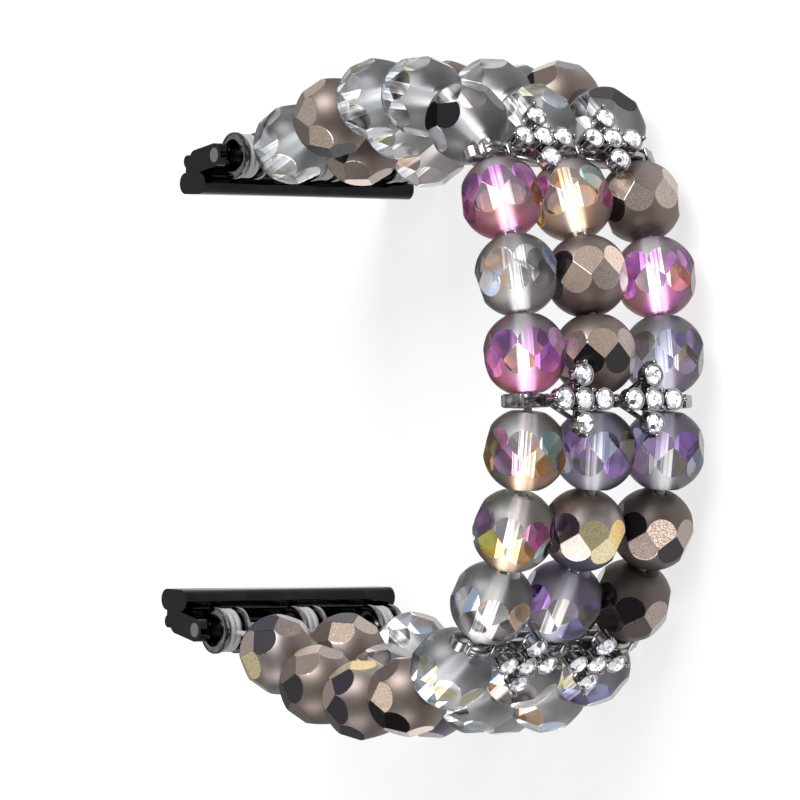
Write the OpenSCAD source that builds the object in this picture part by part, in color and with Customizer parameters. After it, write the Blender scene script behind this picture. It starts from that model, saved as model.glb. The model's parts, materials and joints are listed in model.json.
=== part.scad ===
// Beaded wrist band for a watch case, lying on its side as a closed loop. Three elastic strands
// of sixteen faceted glass beads run through three metal spacers that carry stone crosses, and
// end on spools that hang on the pins of two slide-in adapters.
// Millimetres. X points away from the case, Y along the case, Z up along the wrist's axis.

/* [Beads] */
// Diameter of a bead over its round
bead_d = 8.2; // [7:0.1:8.6]
// Diameter of the flat at each end of a bead
bead_flat_d = 3.3; // [2.4:0.1:3.6]
// Diameter of the hole through a bead
bead_bore_d = 1.2; // [1:0.05:1.6]
// Facets in each of the two rows round a bead's belt
facet_count = 8; // [6:1:9]
// Diameter of the round that a facet cuts from the bead
facet_d = 3.1; // [2.8:0.1:3.5]
// Height of a facet row's middle above or below the belt's centre line, in degrees
facet_lat = 11; // [9:1:16]

/* [Strands] */
// Diameter of the elastic cord
cord_d = 0.8; // [0.5:0.05:0.9]
// Clear space between the beads of neighbouring strands
strand_gap = 0.15; // [0.1:0.05:0.6]
// Clear space between the inner rims of neighbouring beads in a strand
bead_gap = 0.08; // [0.05:0.01:0.2]
// Lean of the middle spacer towards the lower side, in degrees
spacer_lean = 5; // [0:1:10]
// Bend at each joint of the upper half, from the middle spacer to the first rank, in degrees
upper_bends = [3, 7, 10, 7, 25, 26, 16, 9, 3]; // [1:1:26]
// Bend at each joint of the lower half, from the middle spacer to the last rank, in degrees
lower_bends = [10, 14, 13, 7, 19, 18, 15, 13, 12]; // [1:1:26]
// Turn of the cord where it leaves the upper end bead for its spool, in degrees
upper_end_turn = -24; // [-25:1:10]
// Turn of the cord where it leaves the lower end bead for its spool, in degrees
lower_end_turn = -22; // [-25:1:10]

/* [Spacers] */
// Thickness of a spacer bar along the strands
spacer_t = 1.3; // [1:0.1:2]
// Height of the bar between its bosses
bar_h = 2.0; // [1.4:0.1:2.6]
// Length of the bar beyond the outer strands
bar_end = 2.9; // [2.6:0.1:4]
// Clear space between a spacer's hole and the cord, at the radius
spacer_hole_gap = 0.2; // [0.1:0.05:0.3]
// Height of the cup plate's underside above the cord
cross_rise = 2.4; // [2.2:0.1:3.4]
// Width of the post that carries a cross
post_w = 2.2; // [1.6:0.1:3]
// Diameter of the struts that spread from the bar to the outer cups of a cross
strut_d = 0.5; // [0.4:0.02:0.54]
// Distance of a strut's foot from the post's middle
strut_foot = 2.0; // [1.6:0.1:2.4]

/* [Stones] */
// Diameter of a stone at its girdle
stone_d = 1.8; // [1.4:0.05:1.85]
// Distance between neighbouring stones of a cross
stone_pitch = 2.35; // [2.3:0.05:2.5]
// Depth of a stone's cup over the plate
cup_h = 1.0; // [0.9:0.1:1.6]
// Wall of a cup round its stone
cup_wall = 0.2; // [0.16:0.02:0.3]
// Thickness of the plate that joins the cups
plate_t = 0.4; // [0.4:0.1:1]
// Clear space between a stone and its cup, at the radius
stone_gap = 0.03; // [0.02:0.01:0.08]
// Height of a stone's crown over its girdle
crown_h = 0.4; // [0.25:0.05:0.5]
// Height of a stone's girdle
girdle_t = 0.1; // [0.05:0.01:0.2]
// Depth of the girdle's top below the cup's rim
girdle_drop = 0.05; // [0.02:0.01:0.1]
// Clear space between a stone's point and the plate
point_gap = 0.05; // [0.03:0.01:0.1]
// Diameter of a prong's wire
prong_d = 0.36; // [0.28:0.02:0.44]
// Diameter of a prong's ball tip
ball_d = 0.5; // [0.4:0.02:0.6]
// Height of a ball tip's centre over the cup's rim
ball_rise = 0.1; // [0.05:0.01:0.15]

/* [Spools] */
// Diameter of a spool's flanges
spool_d = 4.8; // [4.4:0.1:5.2]
// Diameter of the hole through a spool
spool_bore_d = 2.8; // [2.4:0.1:2.9]
// Length of a spool
spool_w = 3.2; // [2.9:0.1:4]
// Thickness of a flange
flange_t = 0.6; // [0.4:0.05:0.65]
// Diameter of a spool in its groove
groove_d = 3.2; // [3.1:0.1:3.4]
// How much wider apart the spools stand than the strands
spool_spread = 1.2; // [0:0.1:1.4]
// Least clear space between an outer spool and its arm
spool_side_gap = 0.3; // [0.2:0.05:0.6]
// Diameter of the cord where it is stretched round a spool
turn_d = 0.6; // [0.4:0.05:0.65]
// Clear space between the cord's turns and the spool
loop_gap = 0.05; // [0.03:0.01:0.1]
// Clear space between an upper end bead and its spool
upper_end_gap = 1.1; // [0.4:0.1:1.6]
// Clear space between a lower end bead and its spool
lower_end_gap = 2.4; // [0.4:0.1:2.6]

/* [Adapters] */
// Length of the lug that slides into the case
lug_len = 26; // [24:0.5:30]
// Width of the lug across its slot
lug_w = 4.8; // [4:0.1:5.4]
// Thickness of the lug
lug_t = 2.2; // [1.8:0.1:2.4]
// Width of the neck between the lug and the rail
neck_w = 2.6; // [2:0.1:3.2]
// Height of the neck between the lug and the rail
neck_h = 0.5; // [0.3:0.1:0.8]
// Width of the rail outside the slot
rail_w = 3.4; // [2.9:0.1:3.6]
// Thickness of the rail
rail_t = 1.3; // [1:0.1:1.5]
// Place of the lug's middle from the pin, away from the wrist side
lug_back = 4.0; // [3.9:0.1:6]
// Place of the lug's middle from the pin, towards the case
lug_drop = 2.9; // [2.6:0.1:3.6]
// Thickness of an adapter's arm
arm_t = 1.4; // [1:0.1:1.5]
// Radius of the arm round the pin
arm_r = 1.2; // [1.2:0.1:1.7]
// Diameter of the pin
pin_d = 1.5; // [1.2:0.05:1.7]
// Clear space between the pin and its eye, at the radius
pin_gap = 0.03; // [0.02:0.01:0.06]

/* [Hidden] */
RANKS = 16;
STRANDS = ["a", "b", "c"];
// A half of the loop runs from the middle spacer over three ranks, a spacer and five ranks
FAR_RANKS = 3;
SPACER_STATION = FAR_RANKS + 1;
END_STATION = len(upper_bends);

// Glass of each bead, rank by rank from the upper adapter, for strands a, b and c
TONES = [
    ["grey", "bronze", "rose"], ["bronze", "grey", "bronze"], ["grey", "bronze", "clear"],
    ["grey", "grey", "bronze"], ["smoke", "grey", "smoke"], ["rose", "amber", "bronze"],
    ["clear", "bronze", "rose"], ["rose", "bronze", "smoke"], ["amber", "smoke", "smoke"],
    ["amber", "opal", "bronze"], ["clear", "smoke", "bronze"], ["grey", "clear", "smoke"],
    ["bronze", "grey", "clear"], ["opal", "smoke", "grey"], ["bronze", "clear", "bronze"],
    ["opal", "bronze", "rose"],
];

bead_r = bead_d / 2;
rim_r = bead_flat_d / 2;
bead_len = 2 * sqrt(bead_r * bead_r - rim_r * rim_r);
facet_plane = sqrt(bead_r * bead_r - facet_d * facet_d / 4);
facet_pitch = 360 / facet_count;
strand_pitch = bead_d + strand_gap;
mid_z = max(lug_len / 2, strand_pitch + bead_r);

cup_d = stone_d + 2 * stone_gap + 2 * cup_wall;
cup_top = cross_rise + plate_t + cup_h;
girdle_x = cup_top - girdle_drop;
cross_top = girdle_x + crown_h;

turn_r = groove_d / 2 + loop_gap + turn_d / 2;
spool_r = max(turn_r + turn_d / 2, spool_d / 2);
spool_pitch = min(strand_pitch + spool_spread, (lug_len - spool_w) / 2 - arm_t - spool_side_gap);
spool_hang = (spool_bore_d - pin_d) / 2 - loop_gap;
mouth_gap = 0.1;
elbow_swell = 0.06;

// Width of a stone's table beside its girdle, and of the web between two turns beside the cord
table_share = 0.6;
web_share = 0.6;

// Run of a cut past the face it starts from, and the depth to which joined shapes overlap
cut_margin = 0.5;
overlap = 0.01;

function along(h) = [cos(h), sin(h)];
function outward(h) = [sin(h), -cos(h)];
function half_len(i) = (i == 0 || i == SPACER_STATION) ? spacer_t / 2 : bead_len / 2;

// Place of the inner rim that piece i turns about, where the piece before it ends
function rim_point(i, lean, bends) =
    let (p = station(i - 1, lean, bends))
    [p[0], p[1]] + along(p[2]) * (half_len(i - 1) + bead_gap / 2) - outward(p[2]) * rim_r;

// Centre and heading of piece i, counted from the middle spacer towards an adapter
function station(i, lean, bends) =
    i == 0 ? [0, 0, 90 + lean] :
    let (
        rim = rim_point(i, lean, bends),
        h = station(i - 1, lean, bends)[2] + bends[i - 1],
        c = rim + outward(h) * rim_r + along(h) * (half_len(i) + bead_gap / 2)
    )
    [c[0], c[1], h];

UPPER = [for (i = [0:END_STATION]) station(i, spacer_lean, upper_bends)];
LOWER = [for (i = [0:END_STATION]) station(i, -spacer_lean, lower_bends)];

// Where the cord leaves an end bead, the spool's axis and the pin's axis, in the XY plane
function mouth(s) = [s[0], s[1]] + along(s[2]) * (bead_len / 2 + mouth_gap);
function spool_at(s, turn, gap) = mouth(s) + along(s[2] + turn) * (spool_r + gap);
function pin_at(s, turn, gap) = spool_at(s, turn, gap) + along(s[2] + turn) * spool_hang;

upper_pin = pin_at(UPPER[END_STATION], upper_end_turn, upper_end_gap);
lower_pin = pin_at(LOWER[END_STATION], lower_end_turn, lower_end_gap);

// The origin is at the middle of the loop's base
x_low = min(upper_pin[0], lower_pin[0]) - lug_back - lug_w / 2;
x_high = cross_top * cos(spacer_lean) + (stone_pitch + cup_d / 2) * sin(spacer_lean);
y_high = max([for (s = UPPER) s[1]]) + bead_r;
y_low = -max([for (s = LOWER) s[1]]) - bead_r;
origin = [(x_low + x_high) / 2, (y_low + y_high) / 2];

function is_upper(rank) = rank <= RANKS / 2;
// Station of a rank: ranks 8 and 9 lie next to the middle spacer
function rank_station(rank) =
    let (n = is_upper(rank) ? RANKS / 2 + 1 - rank : rank - RANKS / 2)
    n <= FAR_RANKS ? n : n + 1;

function two_digits(n) = n < 10 ? str("0", n) : str(n);
function rank_name(kind, rank) = str(kind, "_", two_digits(rank));
function bead_name(rank, strand) = str("bead_", two_digits(rank), "_", STRANDS[strand]);

function tone(name) =
    name == "grey" ? [0.62, 0.64, 0.67] :
    name == "clear" ? [0.85, 0.84, 0.86] :
    name == "rose" ? [0.72, 0.5, 0.68] :
    name == "amber" ? [0.74, 0.6, 0.42] :
    name == "smoke" ? [0.3, 0.29, 0.33] :
    name == "opal" ? [0.5, 0.44, 0.42] :
    [0.4, 0.34, 0.31];

// Each side rank is one node of three beads, and each far bead turns by itself
SIDE_RANKS = [1, 2, 3, 4, 5, 12, 13, 14, 15, 16];
TURNING_RANKS = [6, 7, 8, 9, 10, 11];

// Children are drawn for the upper half and carried to the lower half by a mirror
module half(upper) {
    translate([-origin[0], -origin[1], mid_z])
        if (upper) children();
        else mirror([0, 1, 0]) children();
}

// A piece's own frame: x outward, y along the strand away from the middle spacer, z up
module at_station(s) translate([s[0], s[1], 0]) rotate([0, 0, s[2] - 90]) children();

module at_rank(rank) {
    i = rank_station(rank);
    half(is_upper(rank)) at_station(is_upper(rank) ? UPPER[i] : LOWER[i]) children();
}

module on_strand(s) translate([0, 0, (1 - s) * strand_pitch]) children();
module on_spool(s) translate([0, 0, (1 - s) * spool_pitch]) children();

// Facet planes of one row, cut from a bead that stands on its axis
module facet_row(side) {
    for (i = [0:facet_count - 1])
        rotate([0, 0, (i + side / 4) * facet_pitch])
            rotate([0, -side * facet_lat, 0])
                translate([facet_plane, -facet_d, -facet_d])
                    cube([bead_r, 2 * facet_d, 2 * facet_d]);
}

// One bead: round, flat at both ends, bored, with two staggered rows of facets on its belt
module bead(rank, strand) {
    phase = (7 * rank + 13 * strand) % facet_pitch;
    color(tone(TONES[rank - 1][strand]))
        rotate([-90, 0, 0]) rotate([0, 0, phase])
            difference() {
                intersection() {
                    sphere(d = bead_d, $fn = 48);
                    cylinder(d = bead_d + 2 * cut_margin, h = bead_len, center = true, $fn = 48);
                }
                cylinder(d = bead_bore_d, h = bead_d, center = true, $fn = 24);
                facet_row(1);
                facet_row(-1);
            }
}

module turning_bead(rank, strand) at_rank(rank) on_strand(strand) bead(rank, strand);

module rank_beads(rank) {
    for (s = [0:2])
        turning_bead(rank, s);
}

// Straight length of cord through a bead or a spacer
module cord_length(h) rotate([90, 0, 0]) cylinder(d = cord_d, h = h, center = true, $fn = 24);

// Two turns of cord lie side by side in a spool's groove and hold each other
module turns_section() {
    for (side = [-1, 1])
        translate([turn_r, side * (turn_d + loop_gap) / 2]) circle(d = turn_d, $fn = 24);
    translate([turn_r, 0]) square([turn_d * web_share, turn_d], center = true);
}

// The cord bends where it leaves the end bead and runs thinner, stretched, to its turns
module cord_turns(turn, gap, spread) {
    reach = spool_r + gap;
    run = reach - turn_r;
    neck = norm([run, spread]);
    translate([0, bead_len / 2, 0]) cord_length(2 * mouth_gap);
    translate([0, bead_len / 2 + mouth_gap, 0]) {
        sphere(d = cord_d + elbow_swell, $fn = 24);
        rotate([0, 0, turn]) {
            rotate([atan2(spread, run), 0, 0]) translate([0, neck / 2, 0]) rotate([90, 0, 0])
                cylinder(d = turn_d - elbow_swell, h = neck, center = true, $fn = 24);
            translate([0, reach, spread]) rotate_extrude($fn = 48) turns_section();
        }
    }
}

module rank_cords(rank) {
    turn = rank == 1 ? upper_end_turn : lower_end_turn;
    gap = rank == 1 ? upper_end_gap : lower_end_gap;
    color("white")
        at_rank(rank)
            for (s = [0:2])
                on_strand(s) {
                    cord_length(bead_len);
                    if (rank == 1 || rank == RANKS)
                        cord_turns(turn, gap, (1 - s) * (spool_pitch - strand_pitch));
                }
}

module spacer_cords(s, upper) {
    color("white")
        half(upper) at_station(s)
            for (k = [0:2])
                on_strand(k) cord_length(spacer_t);
}

// Places of a cross's five stones: the middle one and its four neighbours
CROSS = [[0, 0], [1, 0], [-1, 0], [0, 1], [0, -1]];

// Children are drawn at each stone of both crosses, with x outward
module at_stones() {
    for (side = [-1, 1], c = CROSS)
        translate([0, c[0] * stone_pitch, side * strand_pitch / 2 + c[1] * stone_pitch]) children();
}

// A prong's wire stands beside the cups, and its ball reaches over the stones' edge
module prong(y, z) {
    translate([cross_rise + plate_t / 2, y, z]) rotate([0, 90, 0])
        cylinder(d = prong_d, h = cup_h + plate_t / 2 + ball_rise, $fn = 16);
    translate([cup_top + ball_rise, y, z]) sphere(d = ball_d, $fn = 16);
}

// Four prongs between the arms of a cross and one at the tip of each arm, sunk in the cups
module cross_prongs() {
    out = cup_d / 2 + prong_d / 4;
    for (a = [-1, 1]) {
        for (b = [-1, 1])
            prong(a * out * cos(45), b * out * sin(45));
        prong(a * (stone_pitch + out), 0);
        prong(0, a * (stone_pitch + out));
    }
}

module rod(from, to, d) {
    run = to - from;
    translate(from) rotate([0, acos(run[2] / norm(run)), atan2(run[1], run[0])])
        cylinder(d = d, h = norm(run), $fn = 16);
}

// Struts spread from the bar to the two cups that stand out along the strand
module cross_struts() {
    for (foot = [-1, 1], side = [-1, 1])
        rod([0, 0, foot * strut_foot], [cross_rise + plate_t / 2, side * stone_pitch, 0], strut_d);
}

// The plate of a spacer: bosses at the cords, bar, rounded ends and the posts of the crosses
module spacer_plate() {
    end_z = strand_pitch + bar_end - bar_h / 2;
    translate([-bar_h / 2, -spacer_t / 2, -end_z]) cube([bar_h, spacer_t, 2 * end_z]);
    for (side = [-1, 1]) {
        translate([0, 0, side * end_z]) rotate([90, 0, 0])
            cylinder(d = bar_h, h = spacer_t, center = true, $fn = 32);
        translate([0, -spacer_t / 2, side * strand_pitch / 2 - post_w / 2])
            cube([cross_rise + overlap, spacer_t, post_w]);
    }
    for (s = [0:2])
        on_strand(s) rotate([90, 0, 0]) cylinder(r = rim_r, h = spacer_t, center = true, $fn = 32);
}

module crosses() {
    reach = stone_pitch;
    for (side = [-1, 1])
        translate([cross_rise, 0, side * strand_pitch / 2]) {
            translate([0, -reach, -stone_d / 2]) cube([plate_t, 2 * reach, stone_d]);
            translate([0, -stone_d / 2, -reach]) cube([plate_t, stone_d, 2 * reach]);
        }
    at_stones()
        translate([cross_rise, 0, 0]) rotate([0, 90, 0])
            cylinder(d = cup_d, h = plate_t + cup_h, $fn = 32);
    for (side = [-1, 1])
        translate([0, 0, side * strand_pitch / 2]) {
            cross_prongs();
            cross_struts();
        }
}

module spacer(s, upper) {
    hole_d = cord_d + 2 * spacer_hole_gap;
    color([0.25, 0.24, 0.26])
        half(upper) at_station(s)
            difference() {
                union() {
                    spacer_plate();
                    crosses();
                }
                for (k = [0:2])
                    on_strand(k) rotate([90, 0, 0])
                        cylinder(d = hole_d, h = spacer_t + 2 * cut_margin, center = true, $fn = 24);
                at_stones()
                    translate([cross_rise + plate_t, 0, 0]) rotate([0, 90, 0])
                        cylinder(d = stone_d + 2 * stone_gap, h = cup_h + cut_margin, $fn = 32);
            }
}

// One stone: a pointed pavilion in its cup, a girdle and a crown with a flat table
module stone() {
    r = stone_d / 2;
    depth = cup_h - girdle_drop - point_gap;
    rotate([0, 90, 0])
        rotate_extrude($fn = 32)
            polygon([[0, -depth], [r, -girdle_t], [r, 0], [r * table_share, crown_h], [0, crown_h]]);
}

module stones(s, upper) {
    color("white")
        half(upper) at_station(s)
            at_stones() translate([girdle_x, 0, 0]) stone();
}

// Flat bar with round ends, from one point to another in the XY plane
module link(from, to, r, h) {
    d = to - from;
    translate([from[0], from[1], 0]) cylinder(r = r, h = h, center = true, $fn = 32);
    translate([to[0], to[1], 0]) cylinder(r = r, h = h, center = true, $fn = 32);
    translate([from[0], from[1], 0]) rotate([0, 0, atan2(d[1], d[0])])
        translate([0, -r, -h / 2]) cube([norm(d), 2 * r, h]);
}

// Adapter: lug for the case's slot, neck, rail and an arm at each end that carries the pin
module adapter(upper) {
    pin = upper ? upper_pin : lower_pin;
    lug_r = lug_t / 2;
    rail_r = rail_t / 2;
    rail_y = -lug_drop + lug_r + neck_h + rail_r;
    arm_z = (lug_len - arm_t) / 2;
    color([0.06, 0.06, 0.07])
        half(upper) translate([pin[0], pin[1], 0])
            difference() {
                union() {
                    link([-lug_back - lug_w / 2 + lug_r, -lug_drop],
                        [-lug_back + lug_w / 2 - lug_r, -lug_drop], lug_r, lug_len);
                    translate([-lug_back - neck_w / 2, -lug_drop, -lug_len / 2])
                        cube([neck_w, rail_y + lug_drop, lug_len]);
                    link([-lug_back - rail_w / 2 + rail_r, rail_y],
                        [-lug_back + rail_w / 2 - rail_r, rail_y], rail_r, lug_len);
                    for (side = [-1, 1])
                        translate([0, 0, side * arm_z]) {
                            link([-lug_back + rail_w / 2 - arm_r, rail_y], [0, 0], arm_r, arm_t);
                            link([-lug_back, rail_y], [-lug_back + rail_w / 2 - arm_r, rail_y],
                                rail_r, arm_t);
                        }
                }
                cylinder(d = pin_d + 2 * pin_gap, h = lug_len + 2 * cut_margin, center = true, $fn = 32);
            }
}

module adapter_pin(upper) {
    pin = upper ? upper_pin : lower_pin;
    color([0.3, 0.3, 0.32])
        half(upper) translate([pin[0], pin[1], 0])
            cylinder(d = pin_d, h = lug_len, center = true, $fn = 32);
}

// One spool: two flanges, a groove for the cord and a hole wider than the pin
module spool() {
    difference() {
        union() {
            cylinder(d = groove_d, h = spool_w, center = true, $fn = 48);
            for (side = [-1, 1])
                translate([0, 0, side * (spool_w - flange_t) / 2])
                    cylinder(d = spool_d, h = flange_t, center = true, $fn = 48);
        }
        cylinder(d = spool_bore_d, h = spool_w + 2 * cut_margin, center = true, $fn = 48);
    }
}

module spools(upper) {
    at = upper ? spool_at(UPPER[END_STATION], upper_end_turn, upper_end_gap)
        : spool_at(LOWER[END_STATION], lower_end_turn, lower_end_gap);
    color([0.33, 0.32, 0.34])
        half(upper) translate([at[0], at[1], 0])
            for (s = [0:2])
                on_spool(s) spool();
}

adapter(true);  // adapter_upper
adapter(false);  // adapter_lower
adapter_pin(true);  // pin_upper
adapter_pin(false);  // pin_lower
spools(true);  // spools_upper
spools(false);  // spools_lower
spacer(UPPER[SPACER_STATION], true);  // spacer_upper
spacer(UPPER[0], true);  // spacer_middle
spacer(LOWER[SPACER_STATION], false);  // spacer_lower
stones(UPPER[SPACER_STATION], true);  // stones_upper
stones(UPPER[0], true);  // stones_middle
stones(LOWER[SPACER_STATION], false);  // stones_lower
spacer_cords(UPPER[SPACER_STATION], true);  // cords_spacer_upper
spacer_cords(UPPER[0], true);  // cords_spacer_middle
spacer_cords(LOWER[SPACER_STATION], false);  // cords_spacer_lower
for (r = [1:RANKS])
    rank_cords(r);
for (r = SIDE_RANKS)
    rank_beads(r);
for (r = TURNING_RANKS, s = [0:2])
    turning_bead(r, s);
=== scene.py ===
"""Dresses the beaded wrist band: faceted glass beads, stone crosses, elastic cord, spools and adapters.

The sizes in the classes are millimetres, and MM turns them into Blender's metres. A piece is modelled
in its own frame with Z as its axis and is then carried to its place, which the frame's joints give.
"""

import json
import logging
import math
import random
from collections.abc import Callable, Iterable, Sequence
from dataclasses import dataclass
from enum import Enum

import bmesh
import bpy
from mathutils import Matrix, Vector

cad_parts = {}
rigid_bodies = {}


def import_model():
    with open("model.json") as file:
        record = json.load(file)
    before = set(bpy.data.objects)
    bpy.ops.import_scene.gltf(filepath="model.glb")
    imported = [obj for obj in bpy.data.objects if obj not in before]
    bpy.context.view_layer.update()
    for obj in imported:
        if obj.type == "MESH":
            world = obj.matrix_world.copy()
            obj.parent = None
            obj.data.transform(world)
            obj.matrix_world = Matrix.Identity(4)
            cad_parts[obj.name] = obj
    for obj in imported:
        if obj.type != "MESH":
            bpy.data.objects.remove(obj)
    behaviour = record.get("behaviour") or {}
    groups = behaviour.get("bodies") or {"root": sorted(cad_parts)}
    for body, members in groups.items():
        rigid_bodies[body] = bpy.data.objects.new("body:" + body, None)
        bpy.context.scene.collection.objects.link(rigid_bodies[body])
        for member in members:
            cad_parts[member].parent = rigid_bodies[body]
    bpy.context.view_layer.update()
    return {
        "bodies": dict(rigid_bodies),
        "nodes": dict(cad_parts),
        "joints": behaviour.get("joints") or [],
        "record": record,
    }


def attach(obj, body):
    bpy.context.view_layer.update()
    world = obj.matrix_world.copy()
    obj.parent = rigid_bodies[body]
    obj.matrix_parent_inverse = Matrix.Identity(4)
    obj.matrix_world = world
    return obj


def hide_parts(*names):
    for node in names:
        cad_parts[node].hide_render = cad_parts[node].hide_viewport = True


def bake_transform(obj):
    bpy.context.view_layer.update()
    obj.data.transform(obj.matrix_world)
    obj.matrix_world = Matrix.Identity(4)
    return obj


MM = 0.001
STRANDS = ("a", "b", "c")
RGB = tuple[float, float, float]

log = logging.getLogger("band")


class Wire:
    """An output socket that takes part in Python arithmetic, which adds Math nodes."""

    def __init__(self, paint: "Paint", socket: bpy.types.NodeSocket) -> None:
        """Keeps the socket and the material that it belongs to."""
        self.paint = paint
        self.socket = socket

    def __add__(self, other: "Wire | float") -> "Wire":
        """Sum of two values."""
        return self.paint.maths("ADD", self, other)

    def __sub__(self, other: "Wire | float") -> "Wire":
        """Difference of two values."""
        return self.paint.maths("SUBTRACT", self, other)

    def __rsub__(self, other: float) -> "Wire":
        """Difference of a number and this value."""
        return self.paint.maths("SUBTRACT", other, self)

    def __mul__(self, other: "Wire | float") -> "Wire":
        """Product of two values."""
        return self.paint.maths("MULTIPLY", self, other)

    def __gt__(self, other: "Wire | float") -> "Wire":
        """1 where this value is the larger one, and 0 elsewhere."""
        return self.paint.maths("GREATER_THAN", self, other)

    __radd__ = __add__
    __rmul__ = __mul__


class Paint:
    """One node tree, of a material or of the world, and the ways to add nodes to it."""

    def __init__(self, owner: bpy.types.Material | bpy.types.World) -> None:
        """Empties the owner's node tree.

        Args:
            owner: The material or world that the nodes belong to.
        """
        owner.use_nodes = True
        self.owner = owner
        self.tree = owner.node_tree
        self.tree.nodes.clear()

    def node(self, kind: str, settings: dict | None = None, **inputs: object) -> bpy.types.Node:
        """Adds one node.

        Args:
            kind: The node's type, as Blender names it.
            settings: Properties of the node, set first. The key stops holds a ramp's stops.
            **inputs: Values or wires for its inputs, by their names with _ for a space, or as at0,
                at1 and so on.

        Returns:
            The new node.
        """
        made = self.tree.nodes.new(kind)
        for key, value in (settings or {}).items():
            if key == "stops":
                self._set_stops(made.color_ramp, value)
            else:
                setattr(made, key, value)
        for key, value in inputs.items():
            spot = made.inputs[int(key[2:])] if key.startswith("at") else made.inputs[key.replace("_", " ")]
            if isinstance(value, Wire):
                self.tree.links.new(value.socket, spot)
            elif isinstance(value, tuple) and spot.type == "RGBA":
                spot.default_value = (*value, 1.0)
            else:
                spot.default_value = value
        return made

    @staticmethod
    def _set_stops(ramp: bpy.types.ColorRamp, stops: Sequence[tuple[float, RGB]]) -> None:
        """Gives a colour ramp its stops, each a place and a colour."""
        while len(ramp.elements) < len(stops):
            ramp.elements.new(1.0)
        for element, (place, colour) in zip(ramp.elements, stops):
            element.position = place
            element.color = (*colour, 1.0)

    def wire(self, node: bpy.types.Node, output: int | str = 0) -> Wire:
        """An output of a node, ready for arithmetic."""
        return Wire(self, node.outputs[output])

    def maths(self, operation: str, first: Wire | float, second: Wire | float) -> Wire:
        """Adds a Math node on two values, wires or numbers."""
        return self.wire(self.node("ShaderNodeMath", {"operation": operation}, at0=first, at1=second))

    def attribute(self, name: str) -> Wire:
        """A number that the mesh carries under that name."""
        return self.wire(self.node("ShaderNodeAttribute", {"attribute_name": name}), "Fac")

    def spread(self, value: Wire, low: float, high: float) -> Wire:
        """Turns low to high smoothly into 0 to 1."""
        settings = {"interpolation_type": "SMOOTHSTEP"}
        return self.wire(self.node("ShaderNodeMapRange", settings, Value=value, From_Min=low, From_Max=high))

    def mix(self, mask: Wire | float, low: Wire | RGB, high: Wire | RGB, way: str = "MIX") -> Wire:
        """Mixes two colours by a mask."""
        settings = {"data_type": "RGBA", "blend_type": way}
        return self.wire(self.node("ShaderNodeMix", settings, at0=mask, at6=low, at7=high), 2)

    def ramp(self, value: Wire, stops: Sequence[tuple[float, RGB]], stepped: bool = False) -> Wire:
        """Looks a value up in a row of colours, stepped or smooth."""
        made = self.node("ShaderNodeValToRGB", {"stops": stops}, Fac=value)
        made.color_ramp.interpolation = "CONSTANT" if stepped else "EASE"
        return self.wire(made)

    def place(self) -> Wire:
        """The point of the surface in the piece's own frame, in metres."""
        return self.wire(self.node("ShaderNodeTexCoord"), "Object")

    def grain(self, size: float, detail: float = 3.0) -> Wire:
        """A cloudy noise.

        Args:
            size: Size of one cloud, in millimetres.
            detail: How many finer layers the noise has.

        Returns:
            The noise, from 0 to 1.
        """
        made = self.node("ShaderNodeTexNoise", Vector=self.place(), Scale=1 / (size * MM), Detail=detail)
        return self.wire(made, "Fac")

    def grey(self, level: Wire) -> Wire:
        """A grey of a given level."""
        return self.wire(self.node("ShaderNodeCombineColor", Red=level, Green=level, Blue=level))

    def bump(self, height: Wire, depth: float, strength: float = 1.0) -> Wire:
        """Turns a height from 0 to 1 into a normal.

        Args:
            height: The height of the surface.
            depth: Depth of the relief, in millimetres.
            strength: Share of the relief that shows.

        Returns:
            The bumped normal.
        """
        return self.wire(self.node("ShaderNodeBump", Height=height, Distance=depth * MM, Strength=strength))

    def limb(self, low: float, high: float) -> Wire:
        """The rim of a round piece, 0 where it faces the eye and 1 where it turns away."""
        facing = self.wire(self.node("ShaderNodeLayerWeight", Blend=0.5), "Facing")
        return self.spread(facing, low, high)

    def surface(self, **inputs: object) -> bpy.types.Material:
        """Ends the material with one Principled shader.

        Args:
            **inputs: Values or wires for the shader, by their names with _ for a space.

        Returns:
            The finished material.
        """
        shader = self.node("ShaderNodeBsdfPrincipled", **inputs)
        self.node("ShaderNodeOutputMaterial", Surface=self.wire(shader))
        return self.owner


def evenly(colours: Sequence[RGB], stepped: bool = False) -> list[tuple[float, RGB]]:
    """Spaces colours evenly as the stops of a ramp, whose last step needs room of its own."""
    spaces = len(colours) if stepped else len(colours) - 1
    return [(i / spaces, colour) for i, colour in enumerate(colours)]


def new_paint(name: str) -> Paint:
    """Starts a material of that name."""
    return Paint(bpy.data.materials.new(name))


class Tone(Enum):
    """Glass of one bead, by the colour that it shows first."""

    GREY = "grey"
    CLEAR = "clear"
    ROSE = "rose"
    AMBER = "amber"
    SMOKE = "smoke"
    SHADOW = "shadow"
    OPAL = "opal"
    BRONZE = "bronze"
    UMBER = "umber"


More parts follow.
